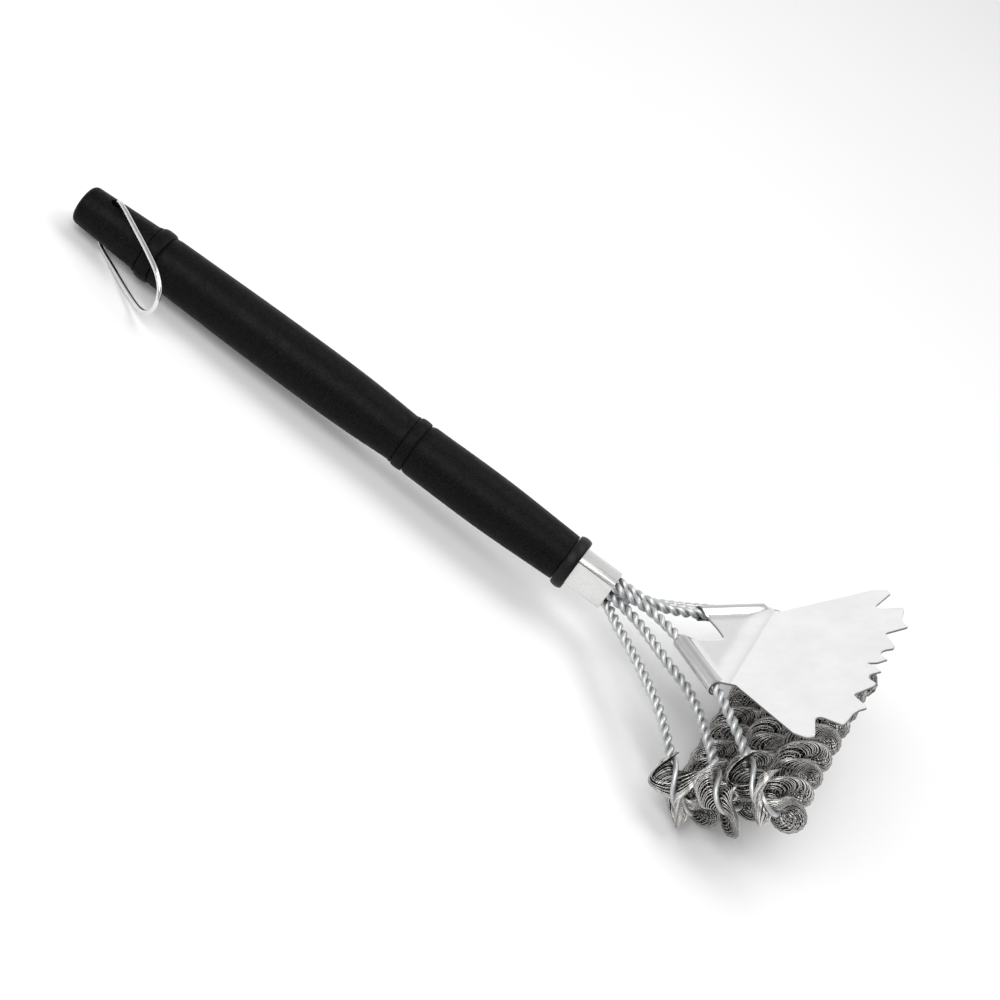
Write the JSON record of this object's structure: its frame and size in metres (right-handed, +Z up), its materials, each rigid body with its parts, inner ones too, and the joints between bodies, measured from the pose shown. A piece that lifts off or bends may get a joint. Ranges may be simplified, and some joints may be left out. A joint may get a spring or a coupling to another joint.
{
  "type": "grill cleaning brush",
  "caption": "Long-handled bristle-free grill brush: flattened scrubbing coils on twisted wire bails, a notched sheet scraper above them and a swinging wire hanging loop.",
  "frame": {"origin": "middle of the brush's footprint, on the surface it lies on", "axes": "+X along the handle towards the head, +Y across the head, +Z up; the handle climbs 3.15 degrees towards the head"},
  "size_m": [0.4568, 0.1806, 0.0977],
  "materials": {
    "handle_plastic": "fine-textured black polypropylene",
    "cap_plastic": "smooth satin black polypropylene",
    "ferrule_sheet": "satin stainless sheet",
    "bail_wire": "drawn galvanised steel wire",
    "coil_wire": "fine flattened stainless wire coil, dull",
    "scraper_sheet": "bright rolled stainless sheet",
    "loop_wire": "bright steel wire"
  },
  "bodies": {
    "brush": {"handle_shell": "handle_plastic", "handle_front_cap": "cap_plastic", "ferrule_sleeve": "ferrule_sheet", "rear_bail_strand_a": "bail_wire", "rear_bail_strand_b": "bail_wire", "middle_bail_strand_a": "bail_wire", "middle_bail_strand_b": "bail_wire", "front_bail_strand_a": "bail_wire", "front_bail_strand_b": "bail_wire", "rear_scrub_coil": "coil_wire", "middle_scrub_coil": "coil_wire", "front_scrub_coil": "coil_wire", "scraper_blade": "scraper_sheet"},
    "loop": {"hanging_loop": "loop_wire"}
  },
  "joints": [
    {"name": "hanging_loop_swing", "type": "hinge", "parent": "brush", "child": "loop", "pos_m": [-0.2127, 0.00022, 0.01446], "axis": [-0.055, 0, 0.9985], "range_deg": [-305, 15]}
  ]
}
